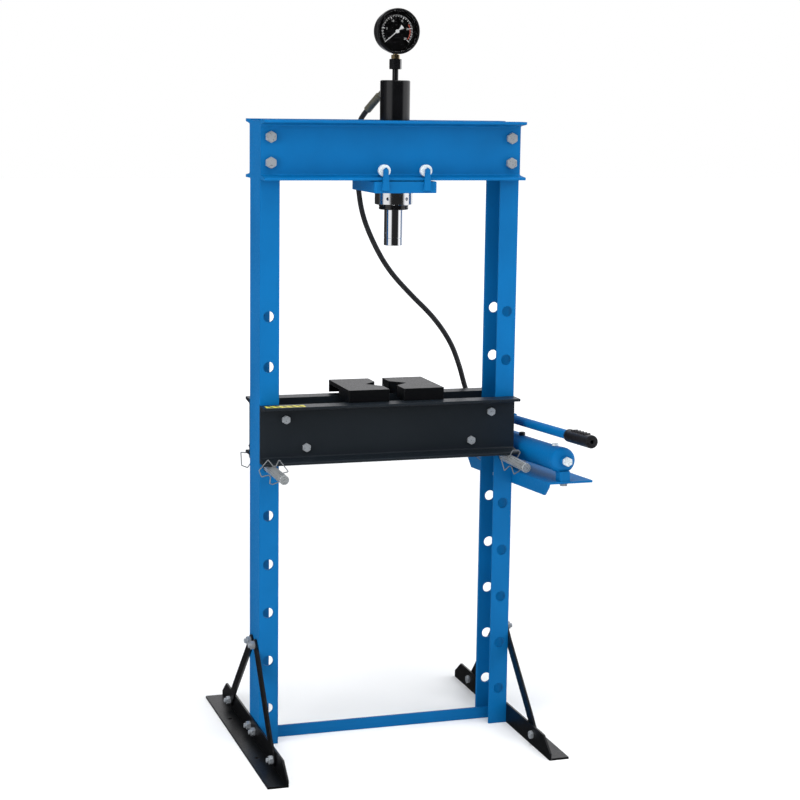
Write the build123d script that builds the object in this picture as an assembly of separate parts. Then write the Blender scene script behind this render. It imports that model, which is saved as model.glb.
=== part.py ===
from build123d import *
import math
import os

# Floor-standing hydraulic shop press.
# Millimetres. +Z up, +X to the operator's right, +Y away from the operator.
# Origin: on the floor, midway between the two uprights, in the plane of their centres.

# ---- frame
FRAME_WIDTH = 650.0
FRAME_HEIGHT = 1524.0
CHANNEL_DEPTH = 100.0
CHANNEL_FLANGE = 48.0
CHANNEL_WEB = 5.0
FLANGE_TIP = 6.0
FLANGE_ROOT = 10.0
HALF_WIDTH = FRAME_WIDTH / 2
HALF_DEPTH = CHANNEL_DEPTH / 2

BEAM_HEIGHT = 140.0
BEAM_FLANGE = 46.0
BEAM_WEB = 6.0
BEAM_TIP = 6.5
BEAM_ROOT = 11.0
BEAM_BOTTOM = FRAME_HEIGHT - BEAM_HEIGHT
BEAM_BOLT_INSET = 24.0
BEAM_BOLT_RISE = 30.0

# ---- rows of pin holes in the uprights
HOLE_PITCH = 121.0
TOP_HOLE_Z = 1060.0
HOLE_COUNT = 9
HOLE_RADIUS = 13.25
HOLE_INSET = 22.5
PIN_ROW = 3
PIN_RADIUS = 11.5
PIN_FRONT = -205.0
PIN_REAR = 110.0
PIN_X = HALF_WIDTH - HOLE_INSET
GAP = 0.3
PIN_Z = TOP_HOLE_Z - PIN_ROW * HOLE_PITCH - (HOLE_RADIUS - PIN_RADIUS) + GAP
CLIP_WIRE = 1.3
CLIP_FRONT = -110.0
CLIP_REAR = 102.0

# ---- bed
BED_BOTTOM = PIN_Z + PIN_RADIUS + GAP
BED_TOP = BED_BOTTOM + BEAM_HEIGHT
BED_SIDE_GAP = 1.0
BED_WEB_OUTER = HALF_DEPTH + BED_SIDE_GAP
BED_BOLTS = ((262.0, 35.0), (211.0, -35.0))
SPACER_RADIUS = 13.5

# ---- arbor plates
PLATE_THICKNESS = 30.0
RECESS_DEPTH = 45.0
RECESS_WALL = 6.0
RECESS_SKIN = 10.0
PLATE_WIDTH = 103.0
PLATE_FRONT = -61.0
PLATE_REAR = 121.0
PLATE_CENTRES = (-54.5, 85.5)
NOTCH_MOUTH = 72.0
NOTCH_DEPTH = 35.0

# ---- ram head, which rolls along the top beams
HEAD_X = 20.2
BRACKET_SIZE = (156.0, 196.0, 27.6)
BRACKET_TOP = BEAM_BOTTOM - 2.4
BRACKET_BOTTOM = BRACKET_TOP - BRACKET_SIZE[2]
ROLLER_SPREAD = 52.0
ROLLER_RADIUS = 14.3
ROLLER_WIDTH = 13.0
ROLLER_Y = 87.0
AXLE_RADIUS = 5.0
ARM_THICKNESS = 6.0
CYLINDER_RADIUS = 36.3
BORE_RADIUS = 28.0
CYLINDER_TOP = 1619.0
CYLINDER_BOTTOM = 1322.0
RING_NUT_RADIUS = 46.5
GLAND_BOTTOM = 1310.0
RAM_RADIUS = 23.0
RAM_TIP = 1223.0
NOSE_LENGTH = 18.0
PISTON_BOTTOM = 1535.0
PISTON_HEIGHT = 30.0
SPRING_POST = 7.6
RUNNING = 0.05
PORT_Z = 1593.0
PORT_ANGLE = 106.3

# ---- pressure gauge
GAUGE_Z = 1734.5
GAUGE_Y = -15.0
GAUGE_CASE_RADIUS = 50.0
GAUGE_BEZEL_RADIUS = 54.0
LENS_RADIUS = 51.5
GAUGE_DEPTH = 36.0
NEEDLE_REST = 220.0

# ---- hand pump, on a shelf at the right; it sits nose-up by PUMP_TILT
PUMP_TILT = 3.5
PUMP_X = 371.0
SHELF_Z = 657.2
SHELF_REACH = 117.0
SHELF_FRONT = -288.0
SHELF_REAR = 275.0
SHELF_LEG = 33.5
SHELF_BOLT_Z = -20.0
SHELF_THICKNESS = 5.0
RESERVOIR_RADIUS = 30.0
RESERVOIR_Z = 49.5
RESERVOIR_FRONT = -258.0
CAP_FRONT = -284.0
FILLER_Y = -222.0
BREATHER_Y = -3.0
HEAD_FRONT = 60.0
HEAD_REAR = 150.0
HEAD_HEIGHT = 76.0
PIVOT_Y = 140.0
LEVER_Z = 114.5
LINK_ARM = 35.0
PIVOT_RADIUS = 5.0
LINK_RADIUS = 4.0
PLUNGER_Y = PIVOT_Y - LINK_ARM
HANDLE_RADIUS = 11.2
HANDLE_BORE = 8.6
TUBE_REAR = 74.0
SPIGOT_FRONT = -8.0
GRIP_FRONT = -443.0
GRIP_REAR = -307.0
GRIP_RADIUS = 15.5
GRIP_NOTCHES = 5
NOTCH_PITCH = 18.0
VALVE_Y = 80.0
VALVE_Z = 26.0

# ---- feet and braces
FOOT_LENGTH = 690.0
FOOT_LEG = 50.0
FOOT_THICKNESS = 5.0
FOOT_CLIP = (45.0, 33.0)
ANCHOR_X = HALF_WIDTH + 28.0
ANCHOR_Y = 148.0
ANCHOR_RADIUS = 6.5
FOOT_BOLT_Y = 25.0
FOOT_BOLT_Z = 27.0
BRACE_FOOT_Y = 230.0
BRACE_POST_Y = 21.0
BRACE_POST_Z = 247.0
BRACE_WIDTH = 30.0
BRACE_THICKNESS = 5.0

# ---- lower crossbar
CROSSBAR_HEIGHT = 28.0
CROSSBAR_THICKNESS = 8.0

# ---- hose: route points chosen by hand, first and last run in line with the fittings
HOSE_RADIUS = 6.5
ELBOW_TOP = (5.6, 50.0, PORT_Z)
HOSE_START_RUN = (-24.0, 50.0, -45.4)
HOSE_END_RUN = (-0.55, -0.05, 0.834)
TOP_REACH = 71.7
LOW_REACH = 53.0
TOP_LEAD = 28.0
LOW_LEAD = 36.0
HOSE_MIDDLE = (
    (-31.4, 136.0, 1505.0),
    (-30.4, 146.2, 1472.7),
    (-30.0, 147.0, 1422.0),
    (-28.0, 145.0, 1362.0),
    (-18.0, 141.0, 1290.0),
    (10.5, 138.0, 1220.0),
    (51.0, 138.0, 1151.0),
    (110.0, 138.0, 1088.0),
    (174.5, 138.0, 1028.0),
    (222.5, 138.0, 962.0),
    (247.5, 138.0, 899.0),
    (261.0, 139.0, 852.0),
    (274.0, 146.0, 822.0),
    (294.0, 155.0, 795.0),
)

# bolt sizes: shank radius, across flats, head height, nut height
M16 = (8.0, 24.0, 10.0, 13.0)
M12 = (6.0, 19.0, 7.5, 10.0)
M10 = (5.0, 17.0, 6.5, 8.0)
HOLE_CLEARANCE = 0.5

nodes = {}


def save(name, *shapes):
    """Keep one node: its shapes become separate solids of the node."""
    solids = nodes.setdefault(name, [])
    for shape in shapes:
        solids.extend(shape.solids())


def rod(radius, start, end):
    """Round bar between two points."""
    a = Vector(*start)
    b = Vector(*end)
    frame = Plane(origin=a, z_dir=b - a)
    return extrude(frame * Circle(radius), amount=(b - a).length)


def ring(outer, inner, start, end):
    """Round tube between two points."""
    return rod(outer, start, end) - rod(inner, start, end)


def block(x, y, z):
    """Box given by its limits along each axis."""
    size = (x[1] - x[0], y[1] - y[0], z[1] - z[0])
    middle = ((x[0] + x[1]) / 2, (y[0] + y[1]) / 2, (z[0] + z[1]) / 2)
    return Pos(*middle) * Box(*size)


def channel_section(height, flange, web, tip, root):
    """Hot-rolled channel section: web on the local Y axis, tapered flanges towards +X."""
    half = height / 2
    outline = Polyline(
        (0, -half),
        (flange, -half),
        (flange, -half + tip),
        (web, -half + root),
        (web, half - root),
        (flange, half - tip),
        (flange, half),
        (0, half),
        close=True,
    )
    section = make_face(outline)
    inner = [v for v in section.vertices() if abs(abs(v.Y) - half + root) < 0.01]
    section = fillet(inner, root * 0.45)
    edges = [v for v in section.vertices() if v.X > flange - 0.01 and abs(v.Y) < half - 0.01]
    return fillet(edges, tip * 0.4)


def hexagon(across_flats, start, end):
    """Hexagonal bar between two points, its end corners turned off."""
    a = Vector(*start)
    b = Vector(*end)
    height = (b - a).length
    frame = Plane(origin=a, z_dir=b - a)
    bar = extrude(frame * RegularPolygon(across_flats / 2, 6, major_radius=False), amount=height)
    corner = across_flats / 2 / math.cos(math.pi / 6)
    turned = extrude(frame * Circle(corner), amount=height)
    turned = chamfer(turned.edges().filter_by(GeomType.CIRCLE), (corner - across_flats / 2) * 0.8)
    return bar & turned


def along(point, direction, distance):
    """The point that lies that far from point along a unit direction."""
    return tuple(p + d * distance for p, d in zip(point, direction))


def bolt(size, point, direction, grip, tail=6.0):
    """Hexagon bolt whose head seats at point; direction runs from the head to the nut."""
    shank, flats, head, nut = size
    end = along(point, direction, grip + nut + tail)
    body = rod(shank, point, end)
    body = chamfer(body.edges().filter_by(GeomType.CIRCLE), shank * 0.15)
    return body + hexagon(flats, along(point, direction, -head), point)


def nut_at(size, point, direction, grip):
    """Nut for the same bolt, seated on the far side of the grip."""
    shank, flats, _, height = size
    start = along(point, direction, grip)
    end = along(start, direction, height)
    return hexagon(flats, start, end) - rod(shank + RUNNING, start, end)


def fasten(group, size, point, direction, grip, tail=6.0):
    """Add one bolt and its nut to the group's two nodes."""
    save(group + "_bolts", bolt(size, point, direction, grip, tail))
    save(group + "_nuts", nut_at(size, point, direction, grip))


def on_pump(shape):
    """Place a shape drawn level, with z measured from the pump shelf's top face."""
    return Location((0, 0, SHELF_Z), (-PUMP_TILT, 0, 0)) * shape


def pump_point(x, y, z):
    """The same placing, for a point."""
    turn = math.radians(-PUMP_TILT)
    down = y * math.sin(turn) + z * math.cos(turn)
    return (x, y * math.cos(turn) - z * math.sin(turn), SHELF_Z + down)


# ---------------------------------------------------------------- frame
def drill_row(side):
    """Pin holes through both flanges of one upright."""
    x = side * PIN_X
    holes = []
    for row in range(HOLE_COUNT):
        z = TOP_HOLE_Z - row * HOLE_PITCH
        holes.append(rod(HOLE_RADIUS, (x, -HALF_DEPTH - 1, z), (x, HALF_DEPTH + 1, z)))
    return holes


def make_uprights():
    section = channel_section(CHANNEL_DEPTH, CHANNEL_FLANGE, CHANNEL_WEB, FLANGE_TIP, FLANGE_ROOT)
    bar = extrude(section, amount=FRAME_HEIGHT - 3)
    for side, name in ((-1, "left_upright"), (1, "right_upright")):
        turn = 0 if side < 0 else 180
        post = Location((side * HALF_WIDTH, 0, 0), (0, 0, turn)) * bar
        cuts = drill_row(side)
        x = side * (HALF_WIDTH - BEAM_BOLT_INSET)
        middle = FRAME_HEIGHT - BEAM_HEIGHT / 2
        for rise in (-BEAM_BOLT_RISE, BEAM_BOLT_RISE):
            z = middle + rise
            cuts.append(rod(M16[0] + HOLE_CLEARANCE, (x, -60, z), (x, 60, z)))
        web = (side * (HALF_WIDTH + 1), side * (HALF_WIDTH - CHANNEL_WEB - 1))
        for y, z in [(s * FOOT_BOLT_Y, FOOT_BOLT_Z) for s in (-1, 1)] + [
            (s * BRACE_POST_Y, BRACE_POST_Z) for s in (-1, 1)
        ]:
            cuts.append(rod(M12[0] + HOLE_CLEARANCE, (web[0], y, z), (web[1], y, z)))
        if side > 0:
            for y in (-FOOT_BOLT_Y, FOOT_BOLT_Y):
                start = pump_point(web[0], y, SHELF_BOLT_Z)
                end = pump_point(web[1], y, SHELF_BOLT_Z)
                cuts.append(rod(M12[0] + HOLE_CLEARANCE, start, end))
        save(name, post - cuts)


def long_channel(face_y, front, z, half_length=HALF_WIDTH):
    """Channel along X with its web's inner face at face_y and its flanges away from the middle."""
    section = channel_section(BEAM_HEIGHT, BEAM_FLANGE, BEAM_WEB, BEAM_TIP, BEAM_ROOT)
    direction = -1 if front else 1
    frame = Plane(origin=(-half_length, direction * face_y, z), x_dir=(0, direction, 0), z_dir=(1, 0, 0))
    return extrude(frame * section, amount=2 * half_length)


def make_top_beams():
    middle = FRAME_HEIGHT - BEAM_HEIGHT / 2
    for front, name in ((True, "top_beam_front"), (False, "top_beam_rear")):
        beam = long_channel(HALF_DEPTH, front, middle)
        cuts = []
        sign = -1 if front else 1
        for side in (-1, 1):
            x = side * (HALF_WIDTH - BEAM_BOLT_INSET)
            for rise in (-BEAM_BOLT_RISE, BEAM_BOLT_RISE):
                z = middle + rise
                outer = sign * (HALF_DEPTH + BEAM_WEB)
                cuts.append(rod(M16[0] + HOLE_CLEARANCE, (x, sign * 45, z), (x, sign * 70, z)))
                fasten("frame", M16, (x, outer, z), (0, -sign, 0), BEAM_WEB + FLANGE_ROOT)
        save(name, beam - cuts)


def make_crossbar():
    reach = HALF_WIDTH - CHANNEL_WEB
    half = CROSSBAR_THICKNESS / 2
    save("lower_crossbar", block((-reach, reach), (-half, half), (0, CROSSBAR_HEIGHT)))


def make_feet():
    half = FOOT_LENGTH / 2
    for side, name in ((-1, "left_foot"), (1, "right_foot")):
        inner = side * HALF_WIDTH
        thick = side * (HALF_WIDTH + FOOT_THICKNESS)
        outer = side * (HALF_WIDTH + FOOT_LEG)
        upright_leg = Plane.YZ * make_face(
            Polyline(
                (-half, 0),
                (half, 0),
                (half, FOOT_LEG - FOOT_CLIP[1]),
                (half - FOOT_CLIP[0], FOOT_LEG),
                (FOOT_CLIP[0] - half, FOOT_LEG),
                (-half, FOOT_LEG - FOOT_CLIP[1]),
                close=True,
            )
        )
        wall = Pos(min(inner, thick), 0, 0) * extrude(upright_leg, amount=FOOT_THICKNESS)
        sole = block(sorted((inner, outer)), (-half, half), (0, FOOT_THICKNESS))
        foot = wall + sole
        cuts = []
        for y in (-ANCHOR_Y, ANCHOR_Y):
            cuts.append(rod(ANCHOR_RADIUS, (side * ANCHOR_X, y, -1), (side * ANCHOR_X, y, 10)))
        for y in (-BRACE_FOOT_Y, -FOOT_BOLT_Y, FOOT_BOLT_Y, BRACE_FOOT_Y):
            start = (side * (HALF_WIDTH - 1), y, FOOT_BOLT_Z)
            end = (side * (HALF_WIDTH + 10), y, FOOT_BOLT_Z)
            cuts.append(rod(M12[0] + HOLE_CLEARANCE, start, end))
        save(name, foot - cuts)
        for y in (-FOOT_BOLT_Y, FOOT_BOLT_Y):
            start = (side * (HALF_WIDTH - CHANNEL_WEB), y, FOOT_BOLT_Z)
            fasten("frame", M12, start, (side, 0, 0), CHANNEL_WEB + FOOT_THICKNESS)


def brace_side(side):
    """Edge view of a brace: flat against the foot below, bent in to lie on the upright above."""
    low = HALF_WIDTH + FOOT_THICKNESS
    high = HALF_WIDTH
    bend = (FOOT_LEG + 20, BRACE_POST_Z - 25)
    outline = Polyline(
        (side * low, 0),
        (side * (low + BRACE_THICKNESS), 0),
        (side * (low + BRACE_THICKNESS), bend[0]),
        (side * (high + BRACE_THICKNESS), bend[1]),
        (side * (high + BRACE_THICKNESS), BRACE_POST_Z + 50),
        (side * high, BRACE_POST_Z + 50),
        (side * high, bend[1]),
        (side * low, bend[0]),
        close=True,
    )
    return extrude(Plane.XZ * make_face(outline), amount=300, both=True)


def make_braces():
    """Flat bars from the outside of each upright down to its foot, front and rear."""
    for side in (-1, 1):
        for end in (-1, 1):
            top = (end * BRACE_POST_Y, BRACE_POST_Z)
            foot = (end * BRACE_FOOT_Y, FOOT_BOLT_Z)
            run = math.hypot(foot[0] - top[0], foot[1] - top[1])
            angle = math.degrees(math.atan2(foot[1] - top[1], foot[0] - top[0]))
            middle = ((top[0] + foot[0]) / 2, (top[1] + foot[1]) / 2)
            slot = Location(middle, angle) * SlotCenterToCenter(run, BRACE_WIDTH)
            slot -= Pos(*top) * Circle(M12[0] + HOLE_CLEARANCE)
            slot -= Pos(*foot) * Circle(M12[0] + HOLE_CLEARANCE)
            blank = extrude(Plane.YZ * slot, amount=500, both=True)
            save("foot_braces", blank & brace_side(side))
            start = (side * (HALF_WIDTH - CHANNEL_WEB), *top)
            fasten("frame", M12, start, (side, 0, 0), CHANNEL_WEB + BRACE_THICKNESS)
            start = (side * HALF_WIDTH, *foot)
            fasten("frame", M12, start, (side, 0, 0), FOOT_THICKNESS + BRACE_THICKNESS)


# ---------------------------------------------------------------- bed
def make_bed():
    middle = (BED_BOTTOM + BED_TOP) / 2
    web_outer = BED_WEB_OUTER + BEAM_WEB
    holes = []
    for x, rise in BED_BOLTS:
        for side in (-1, 1):
            centre = (side * x, middle + rise)
            far = (centre[0], 70, centre[1])
            holes.append(rod(M12[0] + HOLE_CLEARANCE, (centre[0], -70, centre[1]), far))
            start = (centre[0], -BED_WEB_OUTER, centre[1])
            end = (centre[0], BED_WEB_OUTER, centre[1])
            save("bed_spacers", ring(SPACER_RADIUS, M12[0] + HOLE_CLEARANCE, start, end))
            fasten("bed", M12, (centre[0], -web_outer, centre[1]), (0, 1, 0), 2 * web_outer)
    for front, name in ((True, "bed_channel_front"), (False, "bed_channel_rear")):
        save(name, long_channel(BED_WEB_OUTER, front, middle) - holes)


def make_plates():
    """Two loose plates, each with a V notch facing the other and a recess under its outer side."""
    half = PLATE_WIDTH / 2
    notch_y = (PLATE_FRONT + PLATE_REAR) / 2
    z = (BED_TOP + GAP, BED_TOP + GAP + PLATE_THICKNESS)
    for side, centre, name in zip((-1, 1), PLATE_CENTRES, ("left_arbor_plate", "right_arbor_plate")):
        plate = block((centre - half, centre + half), (PLATE_FRONT, PLATE_REAR), z)
        mouth = centre - side * (half + 1)
        tip = centre - side * (half - NOTCH_DEPTH)
        reach = NOTCH_MOUTH / 2
        wedge = make_face(
            Polyline((mouth, notch_y - reach), (mouth, notch_y + reach), (tip, notch_y), close=True)
        )
        plate -= Pos(0, 0, z[0] - 1) * extrude(wedge, amount=PLATE_THICKNESS + 2)
        outer = centre + side * (half + 1)
        recess_x = sorted((outer, outer - side * (RECESS_DEPTH + 1)))
        recess_y = (notch_y, PLATE_REAR - RECESS_WALL)
        plate -= block(recess_x, recess_y, (z[0] - 1, z[1] - RECESS_SKIN))
        save(name, chamfer(plate.edges().filter_by(Axis.Z), 0.8))


CLIP_OUTLINE = (
    (-14.0, -6.0),
    (-32.0, -9.0),
    (-38.0, 6.0),
    (-16.0, 31.0),
    (-3.5, 15.0),
    (3.5, 15.0),
    (11.0, 30.0),
    (34.0, 0.0),
    (14.5, -4.0),
    (10.5, -11.0),
    (9.0, -24.0),
    (-5.0, -29.0),
    (-12.0, -26.0),
    (-9.5, -11.5),
)


def wire_clip(x, y, turn):
    """Bent-wire clip gripping a bed pin, in a plane across the pin."""
    c = math.cos(math.radians(turn))
    n = math.sin(math.radians(turn))
    corners = [(x + u * c - v * n, y, PIN_Z + u * n + v * c) for u, v in CLIP_OUTLINE]
    path = FilletPolyline(*corners, radius=1.6, close=True)
    profile = Plane(origin=path @ 0, z_dir=path % 0) * Circle(CLIP_WIRE)
    return sweep(profile, path=path)


def make_pins():
    for side, hand in ((-1, "left"), (1, "right")):
        x = side * PIN_X
        pin = rod(PIN_RADIUS, (x, PIN_FRONT, PIN_Z), (x, PIN_REAR, PIN_Z))
        pin = chamfer(pin.edges().filter_by(GeomType.CIRCLE), 1.2)
        save(f"{hand}_bed_pin", pin)
        front_turn, rear_turn = (0, 45) if side < 0 else (160, 90)
        front = wire_clip(x, CLIP_FRONT, front_turn)
        save(f"{hand}_pin_clips", front, wire_clip(x, CLIP_REAR, rear_turn))



# ---------------------------------------------------------------- ram head
def arm(x, side):
    """Tapered lug that carries one roller, outside the beams' flange tips."""
    z_axle = roller_z()
    low = BRACKET_BOTTOM + 6
    outline = Polyline(
        (x - 9, low),
        (x + 9, low),
        (x + 7.5, BRACKET_TOP + 2),
        (x + 5.6, z_axle + 3),
        (x, z_axle + 8),
        (x - 5.6, z_axle + 3),
        (x - 7.5, BRACKET_TOP + 2),
        close=True,
    )
    half = BRACKET_SIZE[1] / 2
    y = side * half
    face = Plane(origin=(0, y, 0), x_dir=(1, 0, 0), z_dir=(0, -1, 0)) * make_face(outline)
    plate = extrude(face, amount=-side * ARM_THICKNESS)
    return plate - rod(AXLE_RADIUS, (x, y - 10, z_axle), (x, y + 10, z_axle))


def roller_z():
    """Height of the roller axles: the rollers run on the lower flanges' sloping upper faces."""
    reach = HALF_DEPTH + BEAM_FLANGE - (ROLLER_Y - ROLLER_WIDTH / 2)
    slope = (BEAM_ROOT - BEAM_TIP) / (BEAM_FLANGE - BEAM_WEB)
    return BEAM_BOTTOM + BEAM_TIP + reach * slope + ROLLER_RADIUS + 0.4


def make_head_bracket():
    width, depth, height = BRACKET_SIZE
    plate = block(
        (HEAD_X - width / 2, HEAD_X + width / 2), (-depth / 2, depth / 2), (BRACKET_BOTTOM, BRACKET_TOP)
    )
    plate = fillet(plate.edges().filter_by(Axis.Z), 7)
    plate = chamfer(plate.faces().sort_by(Axis.Z)[-1].edges(), 1.5)
    plate -= rod(CYLINDER_RADIUS, (HEAD_X, 0, BRACKET_BOTTOM - 1), (HEAD_X, 0, BRACKET_TOP + 1))
    z = roller_z()
    for side in (-1, 1):
        for offset, hand in ((-ROLLER_SPREAD, "left"), (ROLLER_SPREAD, "right")):
            x = HEAD_X + offset
            plate += arm(x, side)
            outer = side * (depth / 2 + ARM_THICKNESS)
            inner = side * (ROLLER_Y - ROLLER_WIDTH / 2 - 3)
            axle = rod(AXLE_RADIUS, (x, outer + side * 1.5, z), (x, inner, z))
            cap = rod(AXLE_RADIUS + 3, (x, inner, z), (x, inner + side * 2.5, z))
            save("roller_axles", axle + cap)
            rim = (side * (ROLLER_Y - ROLLER_WIDTH / 2), side * (ROLLER_Y + ROLLER_WIDTH / 2))
            roller = ring(ROLLER_RADIUS, AXLE_RADIUS + RUNNING, (x, rim[0], z), (x, rim[1], z))
            outer_edges = [e for e in roller.edges().filter_by(GeomType.CIRCLE) if e.radius > AXLE_RADIUS + 1]
            save(f"{hand}_rollers", chamfer(outer_edges, 1.0))
    save("head_bracket", plate)


def port_point(distance):
    """Point on the cylinder's oil port, that far from the cylinder's axis."""
    angle = math.radians(PORT_ANGLE)
    return (HEAD_X + distance * math.cos(angle), distance * math.sin(angle), PORT_Z)


def make_cylinder():
    x = HEAD_X
    body = rod(CYLINDER_RADIUS, (x, 0, CYLINDER_BOTTOM), (x, 0, CYLINDER_TOP))
    body = chamfer(body.edges().filter_by(GeomType.CIRCLE).sort_by(Axis.Z)[-1], 2)
    body -= rod(BORE_RADIUS, (x, 0, CYLINDER_BOTTOM - 1), (x, 0, CYLINDER_TOP - 20))
    body -= rod(7, port_point(CYLINDER_RADIUS - 4), port_point(CYLINDER_RADIUS + 2))
    body -= rod(3, port_point(BORE_RADIUS - 2), port_point(CYLINDER_RADIUS - 3))
    body -= rod(5, (x, 0, CYLINDER_TOP - 8), (x, 0, CYLINDER_TOP + 1))
    body += rod(SPRING_POST, (x, 0, CYLINDER_TOP - 44), (x, 0, CYLINDER_TOP - 20))
    body -= rod(2, (x, 0, CYLINDER_TOP - 45), (x, 0, CYLINDER_TOP - 7))
    save("ram_cylinder", body)

    nut = ring(RING_NUT_RADIUS, CYLINDER_RADIUS, (x, 0, CYLINDER_BOTTOM), (x, 0, BRACKET_BOTTOM))
    nut = chamfer([e for e in nut.edges().filter_by(GeomType.CIRCLE) if e.radius > RING_NUT_RADIUS - 1], 1.5)
    z = (CYLINDER_BOTTOM + BRACKET_BOTTOM) / 2 - 1
    for step in range(6):
        angle = math.radians(-125 + 60 * step)
        far = (x + 60 * math.cos(angle), 60 * math.sin(angle), z)
        near = (x + 38 * math.cos(angle), 38 * math.sin(angle), z)
        nut -= rod(4, far, near)
    save("ring_nut", nut)

    gland = rod(CYLINDER_RADIUS, (x, 0, GLAND_BOTTOM), (x, 0, CYLINDER_BOTTOM))
    gland = chamfer(gland.edges().filter_by(GeomType.CIRCLE).sort_by(Axis.Z)[0], 1.5)
    groove = (GLAND_BOTTOM + CYLINDER_BOTTOM) / 2
    gland -= ring(CYLINDER_RADIUS + 1, CYLINDER_RADIUS - 1.2, (x, 0, groove - 0.8), (x, 0, groove + 0.8))
    gland += rod(BORE_RADIUS, (x, 0, CYLINDER_BOTTOM), (x, 0, CYLINDER_BOTTOM + 28))
    gland -= rod(RAM_RADIUS + RUNNING, (x, 0, GLAND_BOTTOM - 1), (x, 0, CYLINDER_BOTTOM + 30))
    seal_z = (CYLINDER_BOTTOM + 8, CYLINDER_BOTTOM + 15)
    gland -= rod(RAM_RADIUS + 3, (x, 0, seal_z[0]), (x, 0, seal_z[1]))
    save("gland_nut", gland)
    save("rod_seal", ring(RAM_RADIUS + 3, RAM_RADIUS + RUNNING, (x, 0, seal_z[0]), (x, 0, seal_z[1])))


def make_ram():
    x = HEAD_X
    seam = RAM_TIP + NOSE_LENGTH
    hollow = 14.0
    ram = rod(RAM_RADIUS, (x, 0, seam), (x, 0, PISTON_BOTTOM))
    ram = chamfer(ram.edges().filter_by(GeomType.CIRCLE).sort_by(Axis.Z)[0], 0.5)
    ram -= rod(hollow, (x, 0, seam + 20), (x, 0, PISTON_BOTTOM + 1))
    ram += rod(SPRING_POST, (x, 0, seam + 20), (x, 0, seam + 45))
    angle = math.radians(200)
    screw_z = seam + 12
    inner = (x + 18 * math.cos(angle), 18 * math.sin(angle), screw_z)
    outer = (x + 30 * math.cos(angle), 30 * math.sin(angle), screw_z)
    ram -= rod(2, inner, outer)
    save("ram", ram)
    nose = rod(RAM_RADIUS, (x, 0, RAM_TIP), (x, 0, seam))
    save("ram_nose", chamfer(nose.edges().filter_by(GeomType.CIRCLE), 0.7))

    top = PISTON_BOTTOM + PISTON_HEIGHT
    piston = ring(BORE_RADIUS - RUNNING, hollow, (x, 0, PISTON_BOTTOM), (x, 0, top))
    groove = (PISTON_BOTTOM + 11, PISTON_BOTTOM + 19)
    piston -= ring(BORE_RADIUS + 1, BORE_RADIUS - 4, (x, 0, groove[0]), (x, 0, groove[1]))
    save("piston", piston)
    save("piston_seal", ring(BORE_RADIUS - 0.02, BORE_RADIUS - 4, (x, 0, groove[0]), (x, 0, groove[1])))

    spring_low = seam + 26
    spring_high = CYLINDER_TOP - 22
    wire = 1.6
    path = Helix(pitch=9.0, height=spring_high - spring_low - 2 * wire, radius=10.0)
    coil = sweep(Plane(origin=path @ 0, z_dir=path % 0) * Circle(wire), path=path, is_frenet=True)
    save("return_spring", Pos(x, 0, spring_low + wire) * coil)


# ---------------------------------------------------------------- gauge
def make_gauge_pipe():
    x = HEAD_X
    save("gauge_pipe", ring(7.3, 2, (x, 0, CYLINDER_TOP), (x, 0, 1645)))
    nut = hexagon(27, (x, 0, 1645), (x, 0, 1669.5)) - rod(3, (x, 0, 1640), (x, 0, 1670))
    save("gauge_coupling", nut)
    stem = hexagon(19, (x, 0, 1669.5), (x, 0, 1679.5)) + rod(6, (x, 0, 1679), (x, 0, 1692))
    stem += block((x - 8, x + 8), (-6, 6), (GAUGE_Z - 43.5, GAUGE_Z - 34.0))
    save("gauge_stem", stem - rod(1.5, (x, 0, 1660), (x, 0, 1694)))


def gauge_frame(depth):
    """Working plane of the gauge, facing the operator; depth is positive towards them."""
    return Plane(origin=(HEAD_X, GAUGE_Y - depth, GAUGE_Z), x_dir=(1, 0, 0), z_dir=(0, -1, 0))


def disc(radius, back, front, inner=0.0):
    """Disc or ring of the gauge between two depths."""
    face = Circle(radius)
    if inner:
        face -= Circle(inner)
    return extrude(gauge_frame(back) * face, amount=front - back)


def make_gauge():
    x = HEAD_X
    case = disc(GAUGE_CASE_RADIUS, -GAUGE_DEPTH, 0)
    case = fillet(case.edges().filter_by(GeomType.CIRCLE).sort_by(Axis.Y)[-1], 4)
    case -= disc(GAUGE_CASE_RADIUS - 2.5, -GAUGE_DEPTH + 3, 1)
    case -= rod(6, (x, 0, GAUGE_Z - GAUGE_CASE_RADIUS - 5), (x, 0, GAUGE_Z - 30))
    save("gauge_case", case)
    bezel = disc(GAUGE_BEZEL_RADIUS, -8, 6)
    bezel = chamfer(bezel.edges().filter_by(GeomType.CIRCLE), 1.5)
    bezel -= disc(GAUGE_CASE_RADIUS, -10, 0)
    bezel -= disc(LENS_RADIUS, -0.5, 3.5)
    bezel -= disc(LENS_RADIUS - 2, 3, 7)
    save("gauge_bezel", bezel)
    save("gauge_lens", disc(LENS_RADIUS, 1.0, 3.5))
    save("gauge_dial", disc(47.5, -7.0, -5.5, inner=3.0))
    save("gauge_movement", disc(14.0, -20.0, -12.0, inner=2.2))
    arc = CenterArc((0, 0), 30, -70, 280)
    path = gauge_frame(-18) * arc
    tube = sweep(Plane(origin=path @ 0, z_dir=path % 0) * Circle(3.5), path=path)
    save("bourdon_tube", tube)

    shaft = disc(2.0, -22.0, -3.0)
    hub = disc(4.5, -4.0, -2.0)
    blade = make_face(
        Polyline(
            (-5.5, -17.5),
            (5.5, -17.5),
            (1.3, -7),
            (1.0, 0),
            (0.4, 41),
            (-0.4, 41),
            (-1.0, 0),
            (-1.3, -7),
            close=True,
        )
    )
    blade = Location((0, 0), NEEDLE_REST - 90) * blade
    pointer = extrude(gauge_frame(-4.0) * blade, amount=0.8)
    save("gauge_needle", shaft + hub + pointer)


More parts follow.
